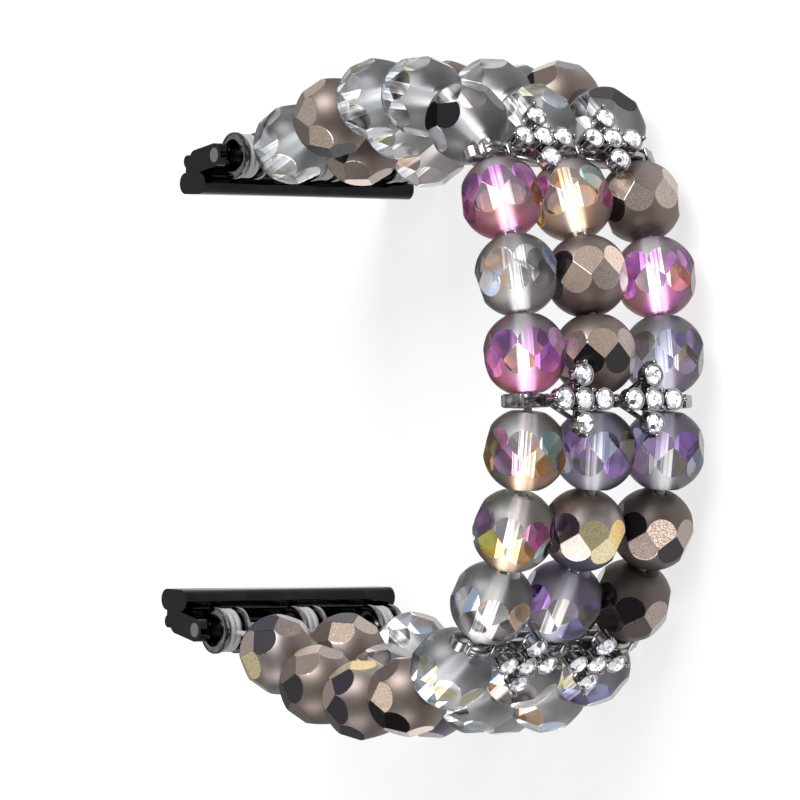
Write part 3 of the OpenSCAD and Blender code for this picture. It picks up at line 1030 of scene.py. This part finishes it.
@dataclass
class Stone:
    """One brilliant-cut stone, with its girdle's top at height 0.

    Attributes:
        diameter: Diameter at the girdle.
        crown: Height of the crown.
        girdle: Height of the girdle band.
        depth: Depth of the point under the girdle's top.
        table: Diameter of the table, as a share of the girdle's.
        mains: Main facets of the crown and of the pavilion.
        tilts: Further tilt of the crown's edge facets, its stars and the pavilion's edge facets, in degrees.
        inset: Where the edge facets meet the girdle's plane, as a share of its radius.
        star: Where the stars meet the table's plane, as a share of its radius.
        inner: Width of the ring of facets that shows in the table, each with its own painted reflection, as a
            share of its diameter.
        seed: Number that the facets' painted brightness is drawn from.
    """

    diameter: float = 1.8
    crown: float = 0.4
    girdle: float = 0.1
    depth: float = 0.9
    table: float = 0.56
    mains: int = 8
    tilts: tuple[float, float, float] = (9.0, -14.0, 5.0)
    inset: float = 0.985
    star: float = 1.04
    inner: float = 0.2
    seed: int = 3

    def pattern(self, crystal: bpy.types.Material) -> bpy.types.Object:
        """Cuts the stone from a round blank, row of facets by row.

        Args:
            crystal: Material of the stone.

        Returns:
            The stone, out of edit mode.
        """
        radius = self.diameter / 2 * MM
        top, bottom = self.crown * MM, self.depth * MM
        piece = Bench.start(bpy.ops.mesh.primitive_cylinder_add, "stone_pattern", vertices=4 * self.mains,
                            radius=radius, depth=top + bottom, location=(0, 0, (top - bottom) / 2))
        Bench.done()
        bpy.ops.object.transform_apply(location=True)
        Bench.edit(piece)
        table_r = radius * self.table
        belly = self.girdle * MM
        main_tilt = math.atan2(top, radius - table_r)
        point_tilt = math.atan2(bottom - belly, radius)
        edge, star, under = map(math.radians, self.tilts)
        # Tilt of a row, a radius and height that its planes pass through, side, facets to a main one, offset.
        rows = (
            (main_tilt, radius, 0.0, 1, 1, 0.0),
            (main_tilt + edge, radius * self.inset, 0.0, 1, 2, 0.25),
            (main_tilt + star, table_r * self.star, top, 1, 1, 0.5),
            (point_tilt, radius, -belly, -1, 1, 0.0),
            (point_tilt + under, radius * self.inset, -belly, -1, 2, 0.25),
        )
        for tilt, at_radius, at_height, side, times, offset in rows:
            distance = at_radius * math.sin(tilt) + side * at_height * math.cos(tilt)
            for i in range(self.mains * times):
                turn = (i / times + offset) * math.tau / self.mains
                Bench.cut(Vector((math.cos(turn) * math.sin(tilt), math.sin(turn) * math.sin(tilt),
                                  side * math.cos(tilt))), distance)
        Bench.heal(1e-6)
        Bench.done()
        self._split_table(piece)
        tint(piece, crystal)
        for face in piece.data.polygons:
            face.use_smooth = False
        return piece

    def _split_table(self, piece: bpy.types.Object) -> None:
        """Divides the table as the pavilion's facets show through it, each part with its own painted
        reflection.
        """
        Bench.edit(piece)
        Bench.pick_faces(piece, lambda face: face.normal.z > 0.99)
        bpy.ops.mesh.inset(thickness=self.diameter * self.table * self.inner * MM)
        bpy.ops.mesh.poke()
        Bench.done()

    def sparkle(self, piece: bpy.types.Object, number: int) -> None:
        """Gives every facet of one stone its own brightness, a painted reflection."""
        draw = random.Random(self.seed + number)
        values = [draw.random() for _ in piece.data.polygons]
        piece.data.attributes.new("sparkle", "FLOAT", "FACE").data.foreach_set("value", values)


@dataclass
class SpacerSet:
    """Three metal spacers, each with two crosses of five stones.

    Attributes:
        loop: The strands' course.
        stone: The stone that every cup holds.
        thickness: Thickness of the bar along the strands.
        bar_h: Height of the bar.
        bar_end: Length of the bar beyond the outer strands.
        bar_web: Thickness of the bar between its collars, as a share of the full thickness.
        collar: Distance of a collar from its strand, and its width.
        collar_h: How far a collar reaches to the wrist and away from it, as shares of the bar's height.
        hole_d: Diameter of the hole for the cord.
        groove: Depth of the groove round an eye.
        rise: Height of the cups' plate over the cord.
        plate: Thickness of that plate.
        plate_w: Width of that plate, as a share of a stone's diameter.
        cup_h: Depth of a cup over the plate.
        cup_wall: Wall of a cup.
        waist: Radius of a cup between its rolled rings, as a share of its outer radius.
        ribs: Ribs round a cup.
        stone_gap: Clear space round a stone.
        stone_pitch: Distance between the stones of a cross.
        post_w: Width of the post that carries a cross.
        post_taper: Size of the post under the cross, as a share of its foot.
        strut_d: Diameter of the struts beside the post.
        strut_foot: Distance of a strut's foot from the post's middle.
        prong_d: Diameter of a prong's wire.
        ball_d: Diameter of a prong's ball.
        seat: Depth of a stone's girdle under the cup's rim.
    """

    loop: Loop
    stone: Stone
    thickness: float = 1.3
    bar_h: float = 2.0
    bar_end: float = 2.9
    bar_web: float = 0.8
    collar: tuple[float, float] = (1.5, 0.5)
    collar_h: tuple[float, float] = (0.55, 0.68)
    hole_d: float = 1.2
    groove: float = 0.25
    rise: float = 2.4
    plate: float = 0.4
    plate_w: float = 0.72
    cup_h: float = 1.0
    cup_wall: float = 0.2
    waist: float = 0.86
    ribs: int = 8
    stone_gap: float = 0.03
    stone_pitch: float = 2.35
    post_w: float = 2.2
    post_taper: float = 0.7
    strut_d: float = 0.5
    strut_foot: float = 2.0
    prong_d: float = 0.36
    ball_d: float = 0.5
    seat: float = 0.05

    # Places of a cross's stones in pitches, turns from Z to X and to Y, and each stone's turn from the last.
    SPOTS = ((0, 0), (1, 0), (-1, 0), (0, 1), (0, -1))
    TO_X = Matrix.Rotation(math.pi / 2, 4, "Y")
    TO_Y = Matrix.Rotation(-math.pi / 2, 4, "X")
    TWIST = 0.7

    def cup_radius(self) -> float:
        """Outer radius of a cup."""
        return self.stone.diameter / 2 + self.stone_gap + self.cup_wall

    def _cup(self) -> bpy.types.Object:
        """Models one cup: a ribbed gallery with a rolled rim, bored for its stone."""
        outer, inner = self.cup_radius(), self.stone.diameter / 2 + self.stone_gap
        high = self.plate + self.cup_h
        waist, ring, drain = outer * self.waist, outer * 0.96, outer * 0.3
        # Radius and height of each point, from the foot over the rim to the floor.
        foot = [(waist, 0.0), (ring, 0.1), (ring, 0.3), (waist, 0.38)]
        rim = [(waist, high - 0.42), (outer, high - 0.30), (outer, high - 0.05), (outer - 0.05, high),
               (inner + 0.03, high), (inner, high - 0.04)]
        floor = [(inner, self.plate), (drain, self.plate - 0.1), (drain, 0.0), (waist, 0.0)]
        cup = Bench.turned("cup_pattern", foot + rim + floor, 24, 35.0)
        bulge = [(0.09, 0.2), (0.11, 0.3), (0.11, high - 0.32), (0.07, high - 0.24)]
        rib = Bench.turned("rib_pattern", bulge, 8, 40.0)
        to_side = Matrix.Translation((outer * 0.9 * MM, 0, 0))
        turns = [Matrix.Rotation(math.tau * (i + 0.5) / self.ribs, 4, "Z") for i in range(self.ribs)]
        ribs = [Bench.copy(rib, "rib", turn @ to_side) for turn in turns]
        Bench.scrap(rib)
        return Bench.join("cup_pattern", [cup, *ribs])

    def _prong(self) -> bpy.types.Object:
        """Models one prong: a wire that ends in a ball."""
        wire, ball = self.prong_d / 2, self.ball_d / 2
        high = self.plate / 2 + self.cup_h + 0.1
        arc = [(ball * math.cos(a), high + ball * math.sin(a))
               for a in (math.radians(d) for d in range(-40, 86, 18))]
        return Bench.turned("prong_pattern", [(wire, 0.0), (wire, high - ball * 0.8), *arc], 12, 50.0)

    def _rod(self, start: tuple[float, float, float], end: tuple[float, float, float]) -> bpy.types.Object:
        """Models a strut between two points, in millimetres."""
        way = Vector(end) - Vector(start)
        radius = self.strut_d / 2
        rod = Bench.turned("strut", [(radius, 0.0), (radius, way.length)], 12, 40.0)
        turn = way.to_track_quat("Z", "Y").to_matrix().to_4x4()
        rod.data.transform(Matrix.Translation(Vector(start) * MM) @ turn)
        return rod

    def _cross(self, metal: bpy.types.Material) -> bpy.types.Object:
        """Models one cross in the frame x outward, y along the strand, z up."""
        cup, prong = self._cup(), self._prong()
        reach, top = self.stone_pitch, self.rise + self.plate
        spots = [Vector((self.rise, y * reach, z * reach)) * MM for y, z in self.SPOTS]
        parts = [Bench.copy(cup, "cup", Matrix.Translation(spot) @ self.TO_X) for spot in spots]
        middle = self.rise + self.plate / 2
        out = self.cup_radius() + self.prong_d / 4
        near, far = out * math.cos(math.pi / 4), reach + out
        # Four prongs stand between the cups, and one at the far side of each outer cup.
        between = [(y, z) for y in (near, -near) for z in (near, -near)]
        for y, z in [*between, (far, 0), (-far, 0), (0, far), (0, -far)]:
            at = Matrix.Translation(Vector((middle, y, z)) * MM)
            parts.append(Bench.copy(prong, "prong", at @ self.TO_X))
        for foot in (-1, 1):
            for side in (-1, 1):
                parts.append(self._rod((0, 0, foot * self.strut_foot), (middle, side * reach, 0)))
        arm = self.stone.diameter * self.plate_w / 2
        for y, z in ((reach, arm), (arm, reach)):
            parts.append(Bench.block("plate", (self.rise, -y, -z), (top, y, z), 0.08, 2))
        half, wide = self.thickness / 2, self.post_w / 2
        parts.append(Bench.block("post", (0.2, -half, -wide), (self.rise + 0.1, half, wide), 0.15, 2,
                                 self.post_taper))
        Bench.scrap(cup, prong)
        cross = Bench.join("cross_pattern", parts)
        tint(cross, metal)
        return cross

    def _bar(self, metal: bpy.types.Material) -> bpy.types.Object:
        """Models the bar with its eyes, collars and round ends."""
        pitch, knob_r = self.loop.bead.pitch, self.bar_h / 2
        half = self.thickness / 2
        web, lip = half * self.bar_web, half - 0.12
        end = pitch + self.bar_end - knob_r
        parts = [Bench.block("bar", (-knob_r, -web, -end), (knob_r, web, end), 0.42, 4)]
        hole, boss = self.hole_d / 2, self.loop.bead.flat_d / 2
        neck = boss - self.groove
        ring = [(hole, -lip), (hole + 0.1, -half), (boss - 0.12, -half), (boss, -lip), (boss, -0.2),
                (neck, -0.1), (neck, 0.1), (boss, 0.2), (boss, lip), (boss - 0.12, half),
                (hole + 0.1, half), (hole, lip), (hole, -lip)]
        eye = Bench.turned("eye", ring, 32, 50.0)
        disc = [(knob_r - 0.2, -half), (knob_r, -lip), (knob_r, lip), (knob_r - 0.2, half)]
        knob = Bench.turned("knob", disc, 32, 50.0)
        (reach, wide), (inner, outer) = self.collar, self.collar_h
        for strand in (-1, 0, 1):
            for side in (-1, 1):
                middle = strand * pitch + side * reach
                parts.append(Bench.block("collar", (-self.bar_h * inner, -half, middle - wide / 2),
                                         (self.bar_h * outer, half, middle + wide / 2), 0.16, 3))
        for pattern, heights in ((eye, (-pitch, 0, pitch)), (knob, (-end, end))):
            lifts = [Matrix.Translation((0, 0, height * MM)) for height in heights]
            parts += [Bench.copy(pattern, "turning", lift @ self.TO_Y) for lift in lifts]
        Bench.scrap(eye, knob)
        bar = Bench.join("bar_pattern", parts)
        tint(bar, metal)
        return bar

    def build(self, metal: bpy.types.Material, satin: bpy.types.Material) -> None:
        """Makes the spacers and their stones, hangs them on their bodies, and hides the CAD parts that they
        take the place of.

        Args:
            metal: Metal of the crosses.
            satin: Metal of the bars.
        """
        cross, bar = self._cross(metal), self._bar(satin)
        stone = self.stone.pattern(Crystal().material())
        girdle = (self.rise + self.plate + self.cup_h - self.seat) * MM
        reach = self.stone_pitch * MM
        sides = [Matrix.Translation((0, 0, s * self.loop.bead.pitch / 2 * MM)) for s in (-1, 1)]
        seats = [side @ Matrix.Translation((girdle, y * reach, z * reach)) @ self.TO_X
                 for side in sides for y, z in self.SPOTS]
        for half in ("upper", "middle", "lower"):
            body = f"{half}_spacer"
            matrix = self.loop.places[body].matrix()
            parts = [Bench.copy(bar, "bar", matrix)]
            parts += [Bench.copy(cross, "cross", matrix @ side) for side in sides]
            frame = Bench.join(f"spacer_{half}_frame", parts)
            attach(frame, body)
            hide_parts(f"spacer_{half}")
            gems = [Bench.copy(stone, "gem", matrix @ seat @ Matrix.Rotation(n * self.TWIST, 4, "Z"))
                    for n, seat in enumerate(seats)]
            for n, gem in enumerate(gems):
                self.stone.sparkle(gem, n)
            cut = Bench.join(f"stones_{half}_cut", gems)
            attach(cut, body)
            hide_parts(f"stones_{half}")
            log.info("spacer %s", half)
        Bench.scrap(cross, bar, stone)


@dataclass
class Cords:
    """The elastic cord: the CAD's straight lengths, and a short bend of three cords at every joint.

    Attributes:
        loop: The strands' course.
        diameter: Diameter of the cord.
        steps: Sections of a bend.
        spacer_t: Thickness of a spacer, where the cord runs through it.
    """

    loop: Loop
    diameter: float = 0.8
    steps: int = 8
    spacer_t: float = 1.3

    def _half(self, body: str) -> float:
        """Half the length of a piece of the chain, in metres."""
        return (self.spacer_t if body.endswith("spacer") else self.loop.bead.length()) / 2 * MM

    def bend(self, lower: str, upper: str, elastic: bpy.types.Material) -> None:
        """Models the cords that cross from one piece of the chain to the next.

        Args:
            lower: Body nearer the lower adapter.
            upper: Body nearer the upper adapter.
            elastic: Material of the cord.
        """
        down, up = self.loop.places[lower], self.loop.places[upper]
        start, end = down.centre + down.along * self._half(lower), up.centre - up.along * self._half(upper)
        pull = (end - start).length / 3
        knots = (start, start + down.along * pull, end - up.along * pull, end)
        data = bpy.data.curves.new("cord_bend", "CURVE")
        data.dimensions = "3D"
        data.fill_mode = "FULL"
        data.use_fill_caps = True
        data.bevel_depth = self.diameter / 2 * MM
        data.bevel_resolution = 5
        for strand in range(3):
            lift = Vector((0, 0, (1 - strand) * self.loop.bead.pitch * MM))
            spline = data.splines.new("POLY")
            spline.points.add(self.steps)
            for i, point in enumerate(spline.points):
                t = i / self.steps
                weights = ((1 - t) ** 3, 3 * t * (1 - t) ** 2, 3 * t * t * (1 - t), t ** 3)
                at = sum((knot * w for knot, w in zip(knots, weights)), Vector()) + lift
                point.co = (*at, 1.0)
        piece = Bench.hang(f"cord_{lower}_to_{upper}", data)
        Bench.hold(piece)
        bpy.ops.object.convert(target="MESH")
        piece = bpy.context.active_object
        tint(piece, elastic)
        Bench.shade(piece, 60.0)
        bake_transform(piece)

    def build(self, nodes: dict, elastic: bpy.types.Material) -> None:
        """Bends a cord over every joint and dresses the straight lengths."""
        chain = self.loop.CHAIN
        for lower, upper in zip(chain, chain[1:]):
            self.bend(lower, upper, elastic)
        for name, node in nodes.items():
            if name.startswith("cords_"):
                tint(node, elastic)
        log.info("cords: %d bends", len(chain) - 1)


@dataclass
class Spools:
    """Three spools on each pin.

    Attributes:
        loop: The strands' course.
        diameter: Diameter of the flanges.
        bore_d: Diameter of the hole.
        groove_d: Diameter in the groove.
        width: Length of a spool.
        pitch: Distance between neighbouring spools.
        flange: Thickness of a flange.
        edge: Rounding of the flange's edge.
        sink: Depth and width of the countersink.
    """

    loop: Loop
    diameter: float = 4.8
    bore_d: float = 2.8
    groove_d: float = 3.2
    width: float = 3.2
    pitch: float = 9.55
    flange: float = 0.6
    edge: float = 0.14
    sink: tuple[float, float] = (0.14, 0.3)

    def _pattern(self) -> bpy.types.Object:
        """Turns one spool, with rolled flange edges and a countersunk hole."""
        half, out, bore, groove = self.width / 2, self.diameter / 2, self.bore_d / 2, self.groove_d / 2
        inside = half - self.flange
        edge, third = self.edge, self.edge * 0.3
        deep, wide = self.sink
        # Radius and height of each point of the upper half, from the groove over the flange to the hole.
        upper = [(groove, inside - 0.1), (groove + 0.1, inside), (out - edge, inside),
                 (out - third, inside + third), (out, inside + edge), (out, half - edge),
                 (out - third, half - third), (out - edge, half), (bore + wide, half),
                 (bore + 0.2, half - 0.08), (bore, half - deep)]
        lower = [(r, -z) for r, z in reversed(upper)]
        return Bench.turned("spool_pattern", [*upper, *lower, upper[0]], 64, 32.0)

    def build(self, metal: bpy.types.Material) -> None:
        """Hangs the spools on the pins and hides the CAD spools that they take the place of."""
        pattern = self._pattern()
        for half in ("upper", "lower"):
            at = self.loop.points[f"spools_{half}_spin"]
            lifts = [Matrix.Translation(at + Vector((0, 0, s * self.pitch * MM))) for s in (1, 0, -1)]
            piece = Bench.join(f"spool_set_{half}", [Bench.copy(pattern, "spool", lift) for lift in lifts])
            tint(piece, metal)
            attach(piece, f"spools_{half}")
            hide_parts(f"spools_{half}")
        Bench.scrap(pattern)
        log.info("spools")


@dataclass
class Studio:
    """Floor, light and the camera at the photograph's viewing angle.

    Attributes:
        distance: Distance of the camera from the point that it looks at, in millimetres.
        lens: Focal length on a sensor 36 mm wide.
        rise: Angle of the view over the floor, in degrees.
        swing: Angle of the view towards the upper adapter, in degrees.
        roll: Roll of the picture, in degrees.
        slide: Shift of the point looked at, right and up in the picture, in millimetres.
        aim: The point looked at before that shift.
        room: Brightness of the room between its panels, as metal and glass see it.
        plain: Colour of the light that matt surfaces get from the room.
        panels: Bright panels of the room: their direction, right, up and back in the picture,
            half their width in degrees, and their brightness.
        pool: Radius of the floor's bright middle and of its dim rest, in millimetres.
        matte: Colour of the floor where the lamps and the shadow show.
        white: Share of the floor that is plain white to the camera, and to metal and glass.
        breadth: Width of the floor, in metres.
    """

    distance: float = 640.0
    lens: float = 286.8
    rise: float = 34.57
    swing: float = 0.97
    roll: float = 0.95
    slide: tuple[float, float] = (-4.03, -0.065)
    aim: tuple[float, float, float] = (0.0, 0.0, 13.0)
    room: float = 0.10
    plain: RGB = (0.62, 0.62, 0.63)
    panels: tuple[tuple[float, ...], ...] = ((-0.7, 0.7, 0.4, 24.0, 1.0), (1.0, 0.1, 0.5, 20.0, 1.0),
                                             (0.0, 1.0, -0.3, 26.0, 1.0), (-0.2, -1.0, 0.3, 18.0, 1.0),
                                             (-1.0, 0.0, -0.2, 22.0, 0.7), (-0.25, 0.35, 0.9, 5.0, 5.0),
                                             (0.35, -0.3, 0.9, 3.5, 4.0), (0.1, 0.95, 0.25, 5.0, 4.0))
    pool: tuple[float, float] = (44.0, 80.0)
    matte: RGB = (0.86, 0.86, 0.87)
    white: tuple[float, float] = (0.72, 0.9)
    breadth: float = 4.0

    # Name of each lamp, its place right, up and back in the picture, its size and its power in watts.
    LAMPS = (("key_light", (-260, 420, 380), (420, 300), 5.0),
             ("low_light", (-120, -460, 240), (460, 160), 1.1))

    def view_axes(self) -> tuple[Vector, Vector, Vector]:
        """Directions right, up and back, towards the camera."""
        rise, swing, roll = (math.radians(a) for a in (self.rise, self.swing, self.roll))
        flat = Vector((math.cos(rise), 0, math.sin(rise)))
        side = Vector((math.sin(rise), 0, -math.cos(rise)))
        rail = Vector((0, 1, 0))
        back = flat * math.cos(swing) + rail * math.sin(swing)
        lift = rail * math.cos(swing) - flat * math.sin(swing)
        right = side * math.cos(roll) + lift * math.sin(roll)
        return right, lift * math.cos(roll) - side * math.sin(roll), back

    def camera(self) -> None:
        """Puts the camera where the photograph was taken from."""
        right, up, back = self.view_axes()
        data = bpy.data.cameras.new("camera")
        data.lens = self.lens
        data.sensor_width = 36.0
        data.clip_end = 20.0
        made = Bench.hang("camera", data)
        shift, lift = self.slide
        at = (Vector(self.aim) + right * shift + up * lift + back * self.distance) * MM
        made.matrix_world = Matrix.Translation(at) @ Matrix((right, up, back)).transposed().to_4x4()
        bpy.context.scene.camera = made

    def softbox(self, name: str, offset: tuple[float, float, float], size: tuple[float, float],
                power: float) -> None:
        """Hangs an area light.

        Args:
            name: Name of the light.
            offset: Its place from the band, right, up and back in the picture, in millimetres.
            size: Its width and height, in millimetres.
            power: Its power, in watts.
        """
        right, up, back = self.view_axes()
        data = bpy.data.lights.new(name, "AREA")
        data.shape = "RECTANGLE"
        data.size, data.size_y = (length * MM for length in size)
        data.energy = power
        made = Bench.hang(name, data)
        away = (right * offset[0] + up * offset[1] + back * offset[2]) * MM
        facing = away.normalized()
        level = up.cross(facing).normalized()
        turn = Matrix((level, facing.cross(level), facing)).transposed().to_4x4()
        made.matrix_world = Matrix.Translation(Vector(self.aim) * MM + away) @ turn

    def world(self) -> None:
        """A dim room with bright panels, which metal and glass show, and plain light for the rest."""
        world = bpy.data.worlds.new("studio")
        bpy.context.scene.world = world
        paint = Paint(world)
        path = paint.node("ShaderNodeLightPath")
        heading = paint.wire(paint.node("ShaderNodeTexCoord"), "Generated")
        right, up, back = self.view_axes()
        # A panel is a patch with soft edges, and the brightest of all shows.
        glow = self.room
        for x, y, z, wide, level in self.panels:
            towards = (right * x + up * y + back * z).normalized()
            facing = paint.node("ShaderNodeVectorMath", {"operation": "DOT_PRODUCT"},
                                at0=heading, at1=tuple(towards))
            edge = math.cos(math.radians(wide))
            soft = min(0.06, 1.0 - edge)
            patch = paint.spread(paint.wire(facing, "Value"), edge - soft, edge + soft) * level
            glow = paint.maths("MAXIMUM", glow, patch)
        glow = paint.maths("MAXIMUM", glow, paint.wire(path, "Is Camera Ray"))
        light = paint.mix(paint.wire(path, "Is Diffuse Ray"), paint.grey(glow), self.plain)
        shown = paint.node("ShaderNodeBackground", Color=light, Strength=1.0)
        paint.node("ShaderNodeOutputWorld", Surface=paint.wire(shown))

    def floor(self) -> None:
        """A plain white floor that keeps the band's shadow and shows dimmer in glass away from the band."""
        piece = Bench.start(bpy.ops.mesh.primitive_plane_add, "floor", size=self.breadth)
        bpy.ops.mesh.subdivide(number_cuts=3)
        Bench.done()
        paint = new_paint("floor")
        path = paint.node("ShaderNodeLightPath")
        rays = ("Camera", "Glossy", "Transmission")
        camera, glossy, through = (paint.wire(path, f"Is {ray} Ray") for ray in rays)
        shown = paint.maths("MAXIMUM", glossy, through)
        length = paint.node("ShaderNodeVectorMath", {"operation": "LENGTH"}, at0=paint.place())
        away = paint.wire(length, "Value")
        # The camera sees white all over, and glass and metal see it near the band only.
        near = 1.0 - paint.spread(away, self.pool[0] * MM, self.pool[1] * MM)
        level = paint.maths("MAXIMUM", camera, near * (1.0 - self.room) + self.room)
        matte = paint.node("ShaderNodeBsdfDiffuse", Color=self.matte)
        glow = paint.node("ShaderNodeEmission", Color=paint.grey(level), Strength=1.0)
        share = paint.maths("MAXIMUM", camera * self.white[0], shown * self.white[1])
        mixed = paint.node("ShaderNodeMixShader", at0=share, at1=paint.wire(matte), at2=paint.wire(glow))
        paint.node("ShaderNodeOutputMaterial", Surface=paint.wire(mixed))
        tint(piece, paint.owner)

    def lights(self) -> None:
        """Hangs the softboxes and the world."""
        for lamp in self.LAMPS:
            self.softbox(*lamp)
        self.world()


def main() -> None:
    """Builds the band and its studio in order."""
    logging.basicConfig(level=logging.INFO, format="%(name)s: %(message)s")
    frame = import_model()
    studio = Studio()
    studio.camera()
    bead = Bead()
    loop = Loop(frame, bead)
    metal, black, steel = GUNMETAL.material(), BLACK_METAL.material(), PIN_STEEL.material()
    BeadRanks(bead, loop).build()
    SpacerSet(loop, Stone()).build(metal, SATIN_METAL.material())
    Cords(loop).build(frame["nodes"], Elastic().material())
    Spools(loop).build(SPOOL_METAL.material())
    for half in ("upper", "lower"):
        tint(frame["nodes"][f"adapter_{half}"], black)
        tint(frame["nodes"][f"pin_{half}"], steel)
        log.info("adapter and pin %s", half)
    studio.floor()
    studio.lights()
    bpy.context.scene.view_settings.view_transform = "Standard"


if __name__ == "__main__":
    main()
